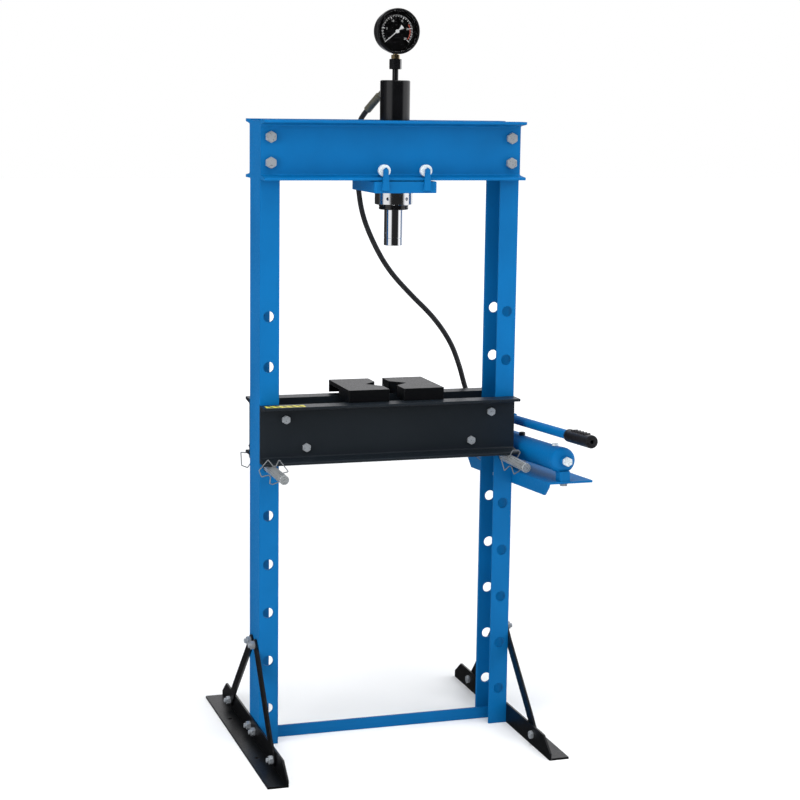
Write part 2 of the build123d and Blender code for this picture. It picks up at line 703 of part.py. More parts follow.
# ---------------------------------------------------------------- hand pump
def make_shelf():
    outer = HALF_WIDTH + SHELF_REACH
    inner = HALF_WIDTH
    section = make_face(
        Polyline(
            (inner, 0),
            (outer, 0),
            (outer, -SHELF_THICKNESS),
            (inner + SHELF_THICKNESS, -SHELF_THICKNESS),
            (inner + SHELF_THICKNESS, -SHELF_LEG),
            (inner, -SHELF_LEG),
            close=True,
        )
    )
    frame = Plane(origin=(0, SHELF_FRONT, 0), x_dir=(1, 0, 0), z_dir=(0, 1, 0))
    flipped = mirror(section, about=Plane.XZ)
    shelf = extrude(frame * flipped, amount=SHELF_REAR - SHELF_FRONT)
    bend = [e for e in shelf.edges().filter_by(Axis.Y) if abs(e.center().X - inner - SHELF_THICKNESS) < 0.01]
    shelf = fillet([e for e in bend if e.center().Z > -SHELF_LEG + 1], 3)
    for end, sign in ((SHELF_FRONT, 1), (SHELF_REAR, -1)):
        clip = Plane.YZ * make_face(
            Polyline(
                (end - sign, -SHELF_LEG - 1),
                (end + sign * 26, -SHELF_LEG - 1),
                (end - sign, -10),
                close=True,
            )
        )
        shelf -= Pos(inner - 1, 0, 0) * extrude(clip, amount=SHELF_THICKNESS + 1.5)
    corners = [e for e in shelf.edges().filter_by(Axis.Z) if abs(e.center().X - outer) < 0.01]
    shelf = fillet(corners, 4)
    for y in (-FOOT_BOLT_Y, FOOT_BOLT_Y):
        start = (inner - 1, y, SHELF_BOLT_Z)
        shelf -= rod(M12[0] + HOLE_CLEARANCE, start, (inner + 6, y, SHELF_BOLT_Z))
    for point in shelf_bolts():
        shelf -= rod(M10[0] + HOLE_CLEARANCE, (point[0], point[1], -10), (point[0], point[1], 1))
    save("pump_bracket", on_pump(shelf))
    for y in (-FOOT_BOLT_Y, FOOT_BOLT_Y):
        start = pump_point(HALF_WIDTH + SHELF_THICKNESS, y, SHELF_BOLT_Z)
        fasten("frame", M12, start, (-1, 0, 0), SHELF_THICKNESS + CHANNEL_WEB)


def shelf_bolts():
    """Where the pump is bolted down: once under the end cap, twice under the pump head."""
    return ((PUMP_X, -275.0), (PUMP_X - 20, 104.0), (PUMP_X + 20, 104.0))


def make_reservoir():
    x, z = PUMP_X, RESERVOIR_Z
    front = (x, RESERVOIR_FRONT, z)
    tank = ring(RESERVOIR_RADIUS, RESERVOIR_RADIUS - 4, front, (x, HEAD_FRONT, z))
    for y in (FILLER_Y, BREATHER_Y):
        tank -= rod(5, (x, y, z + 20), (x, y, z + 50))
    save("reservoir", on_pump(tank))

    outer = RESERVOIR_RADIUS + 1.2
    cap = rod(outer, (x, CAP_FRONT, z), (x, RESERVOIR_FRONT + 9, z))
    cap = fillet(cap.edges().filter_by(GeomType.CIRCLE).sort_by(Axis.Y)[0], outer - 12)
    cap += rod(12, (x, CAP_FRONT - 9, z), (x, CAP_FRONT, z))
    foot = block((x - 13, x + 13), (CAP_FRONT - 2, RESERVOIR_FRONT + 4), (0, 24))
    cap += fillet(foot.edges().filter_by(Axis.Z), 3)
    cap -= rod(RESERVOIR_RADIUS, front, (x, RESERVOIR_FRONT + 10, z))
    cap -= rod(22, (x, RESERVOIR_FRONT - 8, z), front)
    cap -= rod(8, (x, CAP_FRONT - 10, z), front)
    cap -= rod(M10[0], (x, shelf_bolts()[0][1], -1), (x, shelf_bolts()[0][1], 14))
    save("reservoir_end_cap", on_pump(cap))
    plug = rod(8, (x, CAP_FRONT - 9, z), (x, CAP_FRONT + 10, z))
    plug += hexagon(20, (x, CAP_FRONT - 20, z), (x, CAP_FRONT - 9, z))
    save("end_cap_plug", on_pump(plug))

    top = z + RESERVOIR_RADIUS
    filler = rod(5, (x, FILLER_Y, top - 6), (x, FILLER_Y, top))
    filler += rod(8, (x, FILLER_Y, top), (x, FILLER_Y, top + 6))
    filler -= block((x - 9, x + 9), (FILLER_Y - 1.5, FILLER_Y + 1.5), (top + 3, top + 7))
    save("filler_plug", on_pump(filler))
    breather = rod(8, (x, BREATHER_Y, top), (x, BREATHER_Y, top + 9))
    breather = fillet(breather.edges().filter_by(GeomType.CIRCLE).sort_by(Axis.Z)[-1], 3)
    save("breather_cap", on_pump(breather + rod(5, (x, BREATHER_Y, top - 6), (x, BREATHER_Y, top))))


def make_pump_head():
    x = PUMP_X
    head = block((x - 32, x + 32), (HEAD_FRONT, HEAD_REAR), (0, HEAD_HEIGHT))
    head = fillet(head.edges().filter_by(Axis.Z) + head.faces().sort_by(Axis.Z)[-1].edges(), 5)
    head += rod(RESERVOIR_RADIUS - 4, (x, HEAD_FRONT - 8, RESERVOIR_Z), (x, HEAD_FRONT, RESERVOIR_Z))
    for side in (-1, 1):
        ear = block(sorted((x + side * 16, x + side * 26)), (PIVOT_Y - 10, HEAD_REAR), (70, LEVER_Z))
        ear += rod(10, (x + side * 16, PIVOT_Y, LEVER_Z), (x + side * 26, PIVOT_Y, LEVER_Z))
        head += ear
    head -= rod(PIVOT_RADIUS + RUNNING, (x - 40, PIVOT_Y, LEVER_Z), (x + 40, PIVOT_Y, LEVER_Z))
    head -= rod(11, (x, PLUNGER_Y, 30), (x, PLUNGER_Y, HEAD_HEIGHT + 1))
    head -= rod(6 + RUNNING, (x + 10, VALVE_Y, VALVE_Z), (x + 40, VALVE_Y, VALVE_Z))
    head -= rod(7, (x, HEAD_REAR - 6, RESERVOIR_Z), (x, HEAD_REAR + 1, RESERVOIR_Z))
    head -= rod(3, (x, PLUNGER_Y, RESERVOIR_Z), (x, HEAD_REAR, RESERVOIR_Z))
    head -= rod(3, (x, HEAD_FRONT - 10, 36), (x, PLUNGER_Y, 36))
    for point in shelf_bolts()[1:]:
        head -= rod(M10[0], (point[0], point[1], -1), (point[0], point[1], 14))
    save("pump_head", on_pump(head))
    for point in shelf_bolts():
        head_seat = (point[0], point[1], -SHELF_THICKNESS)
        screw = rod(M10[0], head_seat, (point[0], point[1], 13))
        screw += hexagon(M10[1], (point[0], point[1], -SHELF_THICKNESS - M10[2]), head_seat)
        save("frame_bolts", on_pump(screw))

    spindle = rod(6, (x + 11, VALVE_Y, VALVE_Z), (x + 42, VALVE_Y, VALVE_Z))
    knob = rod(14, (x + 40, VALVE_Y, VALVE_Z), (x + 54, VALVE_Y, VALVE_Z))
    knob = fillet(knob.edges().filter_by(GeomType.CIRCLE), 2)
    for step in range(8):
        angle = math.radians(45 * step)
        centre = (VALVE_Y + 15.5 * math.cos(angle), VALVE_Z + 15.5 * math.sin(angle))
        knob -= rod(3.5, (x + 39, *centre), (x + 55, *centre))
    save("release_valve", on_pump(spindle + knob))


def make_plunger():
    x = PUMP_X
    plunger = rod(11 - RUNNING, (x, PLUNGER_Y, 33), (x, PLUNGER_Y, 96))
    travel = 8.5
    tongue = block((x - 7, x + 7), (PLUNGER_Y - 10, PLUNGER_Y + travel + 10), (94, LEVER_Z + 12))
    slot = Plane.YZ * (Pos(PLUNGER_Y + travel / 2, LEVER_Z) * SlotCenterToCenter(travel, 10.6))
    tongue -= Pos(x - 10, 0, 0) * extrude(slot, amount=20)
    save("pump_plunger", on_pump(plunger + tongue))


def make_lever():
    x = PUMP_X
    low, high = LEVER_Z - 11, LEVER_Z + 11
    lever = rod(HANDLE_BORE, (x, SPIGOT_FRONT, LEVER_Z), (x, TUBE_REAR + 2, LEVER_Z))
    lever += block((x - 15.5, x + 15.5), (TUBE_REAR, TUBE_REAR + 8), (low, high))
    for side in (-1, 1):
        span = sorted((x + side * 8.5, x + side * 15.5))
        lever += block(span, (TUBE_REAR + 6, PIVOT_Y), (low, high))
        lever += rod(11, (span[0], PIVOT_Y, LEVER_Z), (span[1], PIVOT_Y, LEVER_Z))
    lever -= rod(PIVOT_RADIUS, (x - 20, PIVOT_Y, LEVER_Z), (x + 20, PIVOT_Y, LEVER_Z))
    lever -= rod(LINK_RADIUS, (x - 20, PLUNGER_Y, LEVER_Z), (x + 20, PLUNGER_Y, LEVER_Z))
    save("lever_socket", on_pump(lever))
    pivot = rod(PIVOT_RADIUS, (x - 27, PIVOT_Y, LEVER_Z), (x + 27, PIVOT_Y, LEVER_Z))
    link = rod(LINK_RADIUS, (x - 15.5, PLUNGER_Y, LEVER_Z), (x + 15.5, PLUNGER_Y, LEVER_Z))
    save("lever_pins", on_pump(pivot), on_pump(link))
    tube_ends = ((x, TUBE_REAR, LEVER_Z), (x, GRIP_FRONT + 9, LEVER_Z))
    save("handle_tube", on_pump(ring(HANDLE_RADIUS, HANDLE_BORE, *tube_ends)))

    grip = rod(GRIP_RADIUS, (x, GRIP_REAR, LEVER_Z), (x, GRIP_FRONT, LEVER_Z))
    grip = fillet(grip.edges().filter_by(GeomType.CIRCLE), 3)
    for step in range(GRIP_NOTCHES):
        y = GRIP_FRONT + 22 + step * NOTCH_PITCH
        top = LEVER_Z + GRIP_RADIUS + 1.5
        grip -= rod(5.5, (x - 20, y, top), (x + 20, y, top))
        ridge = y + NOTCH_PITCH / 2
        ridge_z = LEVER_Z + GRIP_RADIUS - 2.5
        grip += rod(4.5, (x - 8, ridge, ridge_z), (x + 8, ridge, ridge_z))
    grip -= rod(HANDLE_RADIUS, (x, GRIP_FRONT + 9, LEVER_Z), (x, GRIP_REAR + 1, LEVER_Z))
    grip -= rod(4.5, (x, GRIP_FRONT - 1, LEVER_Z), (x, GRIP_FRONT + 10, LEVER_Z))
    save("handle_grip", on_pump(grip))


# ---------------------------------------------------------------- hose
def unit(vector):
    length = math.sqrt(sum(v * v for v in vector))
    return tuple(v / length for v in vector)


def elbow(port, corner, direction):
    """Bent tube with a hexagon at the port, ending in the hose's direction."""
    path = FilletPolyline(Vector(*port), Vector(*corner), Vector(*along(corner, direction, 18)), radius=12)
    tube = sweep(Plane(origin=path @ 0, z_dir=path % 0) * Circle(7), path=path)
    inward = unit(tuple(c - p for c, p in zip(corner, port)))
    return tube + hexagon(19, along(port, inward, 6), along(port, inward, 12))


def ferrule(start, end):
    """Crimped sleeve with shallow rings."""
    sleeve = rod(9.5, start, end)
    direction = unit(tuple(e - s for s, e in zip(start, end)))
    length = (Vector(*end) - Vector(*start)).length
    rings = 6
    for step in range(rings):
        place = length * (step + 0.7) / (rings + 0.4)
        groove = (along(start, direction, place), along(start, direction, place + 2.2))
        sleeve -= ring(11, 8.7, *groove)
    return sleeve


def make_hose():
    top_dir = unit(HOSE_START_RUN)
    low_dir = unit(HOSE_END_RUN)
    elbow_low = pump_point(PUMP_X, HEAD_REAR + 18, RESERVOIR_Z)
    port_low = pump_point(PUMP_X, HEAD_REAR - 6, RESERVOIR_Z)
    start = along(ELBOW_TOP, top_dir, TOP_REACH)
    end = along(elbow_low, low_dir, LOW_REACH)
    upper = ferrule(along(ELBOW_TOP, top_dir, 18), start)
    lower = ferrule(along(elbow_low, low_dir, 18), end)
    save("upper_hose_fitting", elbow(port_point(CYLINDER_RADIUS - 4), ELBOW_TOP, top_dir), upper)
    save("lower_hose_fitting", elbow(port_low, elbow_low, low_dir), lower)

    route = [start, along(start, top_dir, TOP_LEAD), *HOSE_MIDDLE, along(end, low_dir, LOW_LEAD), end]
    points = [Vector(*p) for p in route]
    radii = []
    for before, here, after in zip(points, points[1:], points[2:]):
        turn = math.radians((here - before).get_angle(after - here))
        shorter = min((here - before).length, (after - here).length)
        radii.append(0.45 * shorter / math.tan(turn / 2))
    path = FilletPolyline(*points, radius=radii)
    tube = sweep(Plane(origin=start, z_dir=points[1] - points[0]) * Circle(HOSE_RADIUS), path=path)
    save("hose", tube)
    print("hose route", [tuple(round(v, 1) for v in p) for p in route])
    print("hose radii", [round(r) for r in radii])
    print("hose length", round(path.length, 1))


def main():
    make_uprights()
    make_top_beams()
    make_crossbar()
    make_feet()
    make_braces()
    make_bed()
    make_plates()
    make_pins()
    make_head_bracket()
    make_cylinder()
    make_ram()
    make_gauge_pipe()
    make_gauge()
    make_shelf()
    make_reservoir()
    make_pump_head()
    make_plunger()
    make_lever()
    make_hose()
    os.makedirs("parts", exist_ok=True)
    for name, solids in nodes.items():
        export_step(Compound(solids), f"parts/{name}.step")
    print(len(nodes), "nodes,", sum(len(s) for s in nodes.values()), "solids")


main()
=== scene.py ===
import math

import bmesh
import bpy
from mathutils import Matrix, Vector


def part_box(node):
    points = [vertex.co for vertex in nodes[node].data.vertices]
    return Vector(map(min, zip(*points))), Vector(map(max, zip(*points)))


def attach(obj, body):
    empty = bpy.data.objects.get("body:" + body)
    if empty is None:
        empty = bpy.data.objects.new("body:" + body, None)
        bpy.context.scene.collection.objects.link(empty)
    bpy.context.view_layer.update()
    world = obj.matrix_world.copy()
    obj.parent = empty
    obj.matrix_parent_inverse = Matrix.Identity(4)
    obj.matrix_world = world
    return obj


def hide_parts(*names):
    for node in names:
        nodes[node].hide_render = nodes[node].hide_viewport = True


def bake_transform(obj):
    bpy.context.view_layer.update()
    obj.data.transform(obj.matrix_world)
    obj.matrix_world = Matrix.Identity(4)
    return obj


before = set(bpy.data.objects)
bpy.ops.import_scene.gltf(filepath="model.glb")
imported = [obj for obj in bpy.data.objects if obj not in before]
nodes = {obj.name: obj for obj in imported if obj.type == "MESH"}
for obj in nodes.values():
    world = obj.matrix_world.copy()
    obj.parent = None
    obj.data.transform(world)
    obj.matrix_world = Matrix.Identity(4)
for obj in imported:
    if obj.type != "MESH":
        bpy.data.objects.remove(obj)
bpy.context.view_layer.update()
scene = bpy.context.scene
MM = 0.001

# ---------------------------------------------------------------- camera
AZIMUTH = math.radians(-17.89)
ELEVATION = math.radians(9.27)
ROLL = math.radians(0.8)
CAMERA_AT = Vector((-1.35605, -4.33548, 1.58318))
LENS = 83.95


def make_camera():
    """The camera at the photograph's viewing angle, with its slight roll."""
    back = Vector((
        math.sin(AZIMUTH) * math.cos(ELEVATION),
        -math.cos(AZIMUTH) * math.cos(ELEVATION),
        math.sin(ELEVATION),
    ))
    right = (-back).cross(Vector((0, 0, 1))).normalized()
    up = right.cross(-back)
    right_rolled = right * math.cos(ROLL) + up * math.sin(ROLL)
    up_rolled = up * math.cos(ROLL) - right * math.sin(ROLL)
    turn = Matrix((right_rolled, up_rolled, back)).transposed()
    data = bpy.data.cameras.new("camera")
    data.lens = LENS
    data.sensor_width = 36.0
    data.clip_end = 50.0
    camera = bpy.data.objects.new("camera", data)
    camera.matrix_world = Matrix.Translation(CAMERA_AT) @ turn.to_4x4()
    scene.collection.objects.link(camera)
    scene.camera = camera


# ---------------------------------------------------------------- materials
class Shader:
    """One Principled material with helpers for its procedural detail."""

    def __init__(self, name):
        self.material = bpy.data.materials.new(name)
        self.material.use_nodes = True
        self.tree = self.material.node_tree
        self.shader = self.tree.nodes["Principled BSDF"]
        self.coords = self.tree.nodes.new("ShaderNodeTexCoord").outputs["Object"]
        self.normal = None

    def node(self, kind, **sockets):
        made = self.tree.nodes.new(kind)
        for key, value in sockets.items():
            made.inputs[key.replace("_", " ")].default_value = value
        return made

    def link(self, output, target):
        self.tree.links.new(output, target)

    def set(self, **sockets):
        for key, value in sockets.items():
            self.shader.inputs[key.replace("_", " ")].default_value = value

    def noise(self, scale, detail=3.0, roughness=0.55, stretch=(1, 1, 1)):
        """Noise in the object's own space, scale in features per metre."""
        mapping = self.node("ShaderNodeMapping")
        mapping.inputs["Scale"].default_value = stretch
        self.link(self.coords, mapping.inputs["Vector"])
        made = self.node("ShaderNodeTexNoise", Scale=scale, Detail=detail, Roughness=roughness)
        self.link(mapping.outputs["Vector"], made.inputs["Vector"])
        return made.outputs["Fac"]

    def ramp(self, value, low, high, start=0.35, end=0.65):
        """Spreads a value between two colours or grey levels."""
        made = self.tree.nodes.new("ShaderNodeValToRGB")
        for element, place, colour in zip(made.color_ramp.elements, (start, end), (low, high)):
            element.position = place
            if isinstance(colour, (int, float)):
                colour = (colour, colour, colour)
            element.color = (*colour[:3], 1.0)
        self.link(value, made.inputs["Fac"])
        return made.outputs["Color"]

    def mix(self, factor, first, second):
        made = self.tree.nodes.new("ShaderNodeMix")
        made.data_type = "RGBA"
        self.link(factor, made.inputs["Factor"])
        for socket, value in ((made.inputs["A"], first), (made.inputs["B"], second)):
            if isinstance(value, tuple):
                socket.default_value = (*value[:3], 1.0)
            else:
                self.link(value, socket)
        return made.outputs["Result"]

    def edge_mask(self, radius):
        """White along the object's edges, black on its flats."""
        bevel = self.node("ShaderNodeBevel", Radius=radius)
        bevel.samples = 4
        geometry = self.tree.nodes.new("ShaderNodeNewGeometry")
        dot = self.tree.nodes.new("ShaderNodeVectorMath")
        dot.operation = "DOT_PRODUCT"
        self.link(bevel.outputs["Normal"], dot.inputs[0])
        self.link(geometry.outputs["True Normal"], dot.inputs[1])
        return self.ramp(dot.outputs["Value"], 1.0, 0.0, 0.86, 0.985)

    def times(self, first, second):
        made = self.tree.nodes.new("ShaderNodeMath")
        made.operation = "MULTIPLY"
        self.link(first, made.inputs[0])
        self.link(second, made.inputs[1])
        return made.outputs["Value"]

    def soften(self, radius):
        """Edges catch the light as if they were rounded."""
        bevel = self.node("ShaderNodeBevel", Radius=radius)
        bevel.samples = 4
        self.normal = bevel.outputs["Normal"]

    def bump(self, height, distance, strength=1.0):
        made = self.node("ShaderNodeBump", Strength=strength, Distance=distance)
        self.link(height, made.inputs["Height"])
        if self.normal:
            self.link(self.normal, made.inputs["Normal"])
        self.normal = made.outputs["Normal"]

    def finish(self, colour=None, roughness=None):
        if colour is not None:
            self.link(colour, self.shader.inputs["Base Color"])
        if roughness is not None:
            self.link(roughness, self.shader.inputs["Roughness"])
        if self.normal:
            self.link(self.normal, self.shader.inputs["Normal"])
        return self.material


def shade(colour, factor):
    return tuple(min(1.0, c * factor) for c in colour[:3])


def powder_coat(name, colour, rough=0.36, wear=(0.05, 0.05, 0.055), wear_amount=0.0, shine=0.5):
    """Sprayed and baked finish: fine orange peel, faint dust, edges slightly rubbed."""
    s = Shader(name)
    cloud = s.noise(6.0, 4.0)
    fine = s.noise(260.0, 2.0)
    base = s.ramp(cloud, shade(colour, 0.93), shade(colour, 1.06))
    if wear_amount:
        patches = s.ramp(s.noise(90.0, 5.0, 0.7), 0.0, wear_amount, 0.52, 0.66)
        base = s.mix(s.times(s.edge_mask(0.0016), patches), base, wear)
    s.soften(0.0011)
    s.bump(s.noise(900.0, 2.0), 0.00012, 0.35)
    s.bump(s.noise(170.0, 2.0), 0.0002, 0.18)
    s.set(Specular_IOR_Level=shine)
    return s.finish(base, s.ramp(fine, rough - 0.05, rough + 0.07))


def gloss_paint(name, colour, rough=0.14):
    """Wet-looking enamel with a slight ripple."""
    s = Shader(name)
    base = s.ramp(s.noise(12.0, 4.0), shade(colour, 0.8), shade(colour, 1.25))
    s.soften(0.0008)
    s.bump(s.noise(120.0, 2.0), 0.0002, 0.12)
    s.set(Coat_Weight=0.15, Coat_Roughness=0.10, Specular_IOR_Level=0.4)
    return s.finish(base, s.ramp(s.noise(40.0, 3.0), rough - 0.03, rough + 0.06))


def plated(name, colour, rough=0.28, stretch=(1, 1, 1), marks=500.0, depth=0.00006, contrast=0.12,
           metal=1.0):
    """Zinc, chrome or ground steel: metal with fine marks along one direction."""
    s = Shader(name)
    cloud = s.noise(55.0, 5.0, 0.65)
    base = s.ramp(cloud, shade(colour, 1 - contrast), shade(colour, 1 + contrast * 0.5), 0.3, 0.7)
    s.soften(0.0006)
    s.bump(s.noise(marks, 2.0, 0.5, stretch), depth, 0.4)
    s.set(Metallic=metal)
    return s.finish(base, s.ramp(s.noise(marks * 0.4, 3.0, 0.6, stretch), rough * 0.75, rough * 1.3))


def rubber(name, colour=(0.012, 0.012, 0.013), rough=0.55, grain=700.0):
    """Moulded rubber with a dusty, faintly mottled skin."""
    s = Shader(name)
    base = s.ramp(s.noise(30.0, 5.0, 0.65), colour, shade(colour, 1.8))
    s.soften(0.0006)
    s.bump(s.noise(grain, 3.0), 0.00015, 0.35)
    s.set(Specular_IOR_Level=0.4)
    return s.finish(base, s.ramp(s.noise(120.0, 3.0), rough - 0.08, rough + 0.1))


def plastic(name, colour, rough=0.3):
    """Injection-moulded plastic with a fine texture."""
    s = Shader(name)
    base = s.ramp(s.noise(40.0, 3.0), shade(colour, 0.85), shade(colour, 1.2))
    s.soften(0.0008)
    s.bump(s.noise(1400.0, 2.0), 0.00005, 0.3)
    return s.finish(base, s.ramp(s.noise(90.0, 2.0), rough - 0.05, rough + 0.08))


def dial_print(name, colour, rough=0.5, shine=0.3):
    """Printed ink or sheet-metal lacquer."""
    s = Shader(name)
    base = s.ramp(s.noise(200.0, 3.0), shade(colour, 0.92), shade(colour, 1.05))
    s.bump(s.noise(2500.0, 2.0), 0.00002, 0.2)
    s.set(Specular_IOR_Level=shine)
    return s.finish(base, s.ramp(s.noise(300.0, 2.0), rough - 0.06, rough + 0.06))


def clear_glass(name):
    """The gauge's flat lens, with a trace of dust."""
    s = Shader(name)
    s.set(Transmission_Weight=1.0, IOR=1.45, Base_Color=(1, 1, 1, 1))
    s.bump(s.noise(25.0, 2.0), 0.00002, 0.05)
    return s.finish(None, s.ramp(s.noise(60.0, 4.0), 0.0, 0.03, 0.4, 0.8))


BLUE = (0.0, 0.100, 0.282)
CHARCOAL = (0.0085, 0.0120, 0.0160)
BLACK = (0.0022, 0.0024, 0.003)

materials = {
    "blue": powder_coat("blue_powder_coat", BLUE, 0.56, (0.0, 0.06, 0.20), 0.5, 0.12),
    "charcoal": powder_coat("charcoal_paint", CHARCOAL, 0.40, (0.09, 0.09, 0.10), 0.6, 0.45),
    "black": powder_coat("black_paint", BLACK, 0.38, (0.08, 0.08, 0.085), 0.6, 0.4),
    "gloss_black": gloss_paint("gloss_black_paint", (0.0035, 0.0035, 0.004)),
    "zinc": plated("zinc_plate", (0.37, 0.395, 0.42), 0.32, metal=0.5),
    "dull_zinc": plated("dull_zinc", (0.22, 0.23, 0.24), 0.40, metal=0.5),
    "bright_zinc": plated("bright_zinc", (0.66, 0.72, 0.74), 0.28, metal=0.25),
    "drawn_steel": plated("drawn_steel", (0.40, 0.42, 0.43), 0.30, (1, 0.03, 1), 900.0, 0.0001, metal=0.6),
    "chrome": plated("hard_chrome", (0.86, 0.87, 0.88), 0.07, (0.15, 0.15, 4), 900.0, 0.00001, 0.03),
    "turned": plated("turned_steel", (0.78, 0.79, 0.80), 0.14, (0.1, 0.1, 6), 700.0, 0.00003, 0.06),
    "passivated": plated(
        "yellow_passivate", (0.15, 0.14, 0.105), 0.36, (1, 1, 1), 400.0, 0.00008, 0.2, metal=0.4
    ),
    "brass": plated("brass", (0.66, 0.50, 0.26), 0.28),
    "rubber": rubber("hose_rubber"),
    "grip": rubber("grip_rubber", (0.006, 0.006, 0.007), 0.42, 500.0),
    "bezel": gloss_paint("bezel_enamel", (0.0040, 0.0040, 0.0045), 0.32),
    "plastic": plastic("gauge_plastic", (0.010, 0.010, 0.011), 0.3),
    "dial": dial_print("dial_black", (0.0030, 0.0030, 0.0034), 0.7, 0.03),
    "white": dial_print("dial_white", (0.75, 0.76, 0.76), 0.5),
    "red": dial_print("dial_red", (0.55, 0.09, 0.05), 0.5),
    "yellow": dial_print("label_yellow", (0.70, 0.62, 0.06), 0.45),
    "label_black": dial_print("label_black", (0.010, 0.010, 0.010), 0.45),
    "glass": clear_glass("gauge_glass"),
}

FINISHES = {
    "blue": (
        "left_upright", "right_upright", "top_beam_front", "top_beam_rear", "lower_crossbar",
        "head_bracket", "pump_bracket", "reservoir", "reservoir_end_cap", "pump_head", "lever_socket",
        "handle_tube", "roller_axles",
    ),
    "charcoal": ("bed_channel_front", "bed_channel_rear", "bed_spacers"),
    "black": ("left_foot", "right_foot", "foot_braces", "left_arbor_plate", "right_arbor_plate"),
    "gloss_black": ("ram_cylinder", "gland_nut", "gauge_pipe", "gauge_coupling"),
    "zinc": ("frame_bolts", "frame_nuts", "bed_bolts", "bed_nuts", "lever_pins", "release_valve", "piston"),
    "bright_zinc": (
        "left_rollers", "right_rollers", "end_cap_plug", "filler_plug",
        "return_spring",
    ),
    "dull_zinc": ("left_pin_clips", "right_pin_clips"),
    "drawn_steel": ("left_bed_pin", "right_bed_pin"),
    "chrome": ("ram", "ram_nose", "pump_plunger"),
    "turned": ("ring_nut",),
    "passivated": ("upper_hose_fitting", "lower_hose_fitting"),
    "brass": ("gauge_stem", "gauge_movement", "bourdon_tube"),
    "rubber": ("rod_seal", "piston_seal"),
    "grip": ("handle_grip",),
    "bezel": ("gauge_bezel",),
    "plastic": ("gauge_case", "breather_cap"),
    "dial": ("gauge_dial",),
    "white": ("gauge_needle",),
    "glass": ("gauge_lens",),
}


def dress_nodes():
    for finish, names in FINISHES.items():
        for name in names:
            mesh = nodes[name].data
            mesh.materials.clear()
            mesh.materials.append(materials[finish])


# ---------------------------------------------------------------- building helpers
def new_piece(name, mesh, body, finish):
    piece = bpy.data.objects.new(name, mesh)
    scene.collection.objects.link(piece)
    mesh.materials.clear()
    mesh.materials.append(materials[finish])
    if body:
        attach(piece, body)
    return piece


def smooth(mesh, angle=35.0):
    """Smooth shading except across sharp edges."""
    bm = bmesh.new()
    bm.from_mesh(mesh)
    for face in bm.faces:
        face.smooth = True
    for edge in bm.edges:
        edge.smooth = len(edge.link_faces) == 2 and edge.calc_face_angle(0) < math.radians(angle)
    bm.to_mesh(mesh)
    bm.free()


def slab(bm, outline, back, front, place):
    """Adds a flat plate: an outline in the plane, pushed from back to front."""
    lower = [bm.verts.new(place(u, v, back)) for u, v in outline]
    upper = [bm.verts.new(place(u, v, front)) for u, v in outline]
    bm.faces.new(upper)
    bm.faces.new(list(reversed(lower)))
    count = len(outline)
    for i in range(count):
        j = (i + 1) % count
        bm.faces.new((lower[i], lower[j], upper[j], upper[i]))


# ---------------------------------------------------------------- hose
HOSE_RADIUS = 6.5
HOSE_ROUTE = (
    (-18.4, 100.0, 1547.6),
    (-27.8, 119.6, 1529.8),
    (-31.4, 136.0, 1505.0),
    (-30.4, 146.2, 1472.7),
    (-30.0, 147.0, 1422.0),
    (-28.0, 145.0, 1362.0),
    (-18.0, 141.0, 1290.0),
    (10.5, 138.0, 1220.0),
    (51.0, 138.0, 1151.0),
    (110.0, 138.0, 1088.0),
    (174.5, 138.0, 1028.0),
    (222.5, 138.0, 962.0),
    (247.5, 138.0, 899.0),
    (261.0, 139.0, 852.0),
    (274.0, 146.0, 822.0),
    (294.0, 155.0, 795.0),
    (322.1, 166.3, 770.6),
    (341.9, 168.1, 740.5),
)


def route_line(points, resolution=16):
    """Points along the smooth line through a route, in metres."""
    data = bpy.data.curves.new("route", "CURVE")
    data.dimensions = "3D"
    data.resolution_u = resolution
    spline = data.splines.new("NURBS")
    spline.points.add(len(points) - 1)
    for point, at in zip(spline.points, points):
        point.co = (*(c * MM for c in at), 1.0)
    spline.order_u = 3
    spline.use_endpoint_u = True
    holder = bpy.data.objects.new("route", data)
    scene.collection.objects.link(holder)
    bpy.context.view_layer.update()
    mesh = bpy.data.meshes.new_from_object(holder)
    line = [v.co.copy() for v in mesh.vertices]
    bpy.data.objects.remove(holder)
    bpy.data.meshes.remove(mesh)
    return line


def tube_mesh(name, line, radius, sides=28):
    """A closed round tube along a line, with frames carried along so that it never twists."""
    bm = bmesh.new()
    rings = []
    side = None
    for i, point in enumerate(line):
        ahead = (line[min(i + 1, len(line) - 1)] - line[max(i - 1, 0)]).normalized()
        if side is None:
            side = ahead.orthogonal().normalized()
        side = (side - ahead * side.dot(ahead)).normalized()
        other = ahead.cross(side)
        ring = []
        for k in range(sides):
            angle = 2 * math.pi * k / sides
            ring.append(bm.verts.new(point + (side * math.cos(angle) + other * math.sin(angle)) * radius))
        rings.append(ring)
    for first, second in zip(rings, rings[1:]):
        for k in range(sides):
            j = (k + 1) % sides
            bm.faces.new((first[k], first[j], second[j], second[k]))
    bm.faces.new(list(reversed(rings[0])))
    bm.faces.new(rings[-1])
    mesh = bpy.data.meshes.new(name)
    bm.to_mesh(mesh)
    bm.free()
    smooth(mesh, 50.0)
    return mesh


def make_hose():
    line = route_line(HOSE_ROUTE)
    piece = new_piece("hydraulic_hose", tube_mesh("hydraulic_hose", line, HOSE_RADIUS * MM), None,
                      "rubber")
    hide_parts("hose")
    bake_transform(piece)


# ---------------------------------------------------------------- gauge face
GAUGE_CENTRE = Vector((0.0202, 0, 1.7345))
DIAL_FRONT = -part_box("gauge_dial")[0][1] / MM
SCALE_START = 220.0
SCALE_SWEEP = 260.0
SCALE_TOP = 25
TICK_OUTER = 39.0
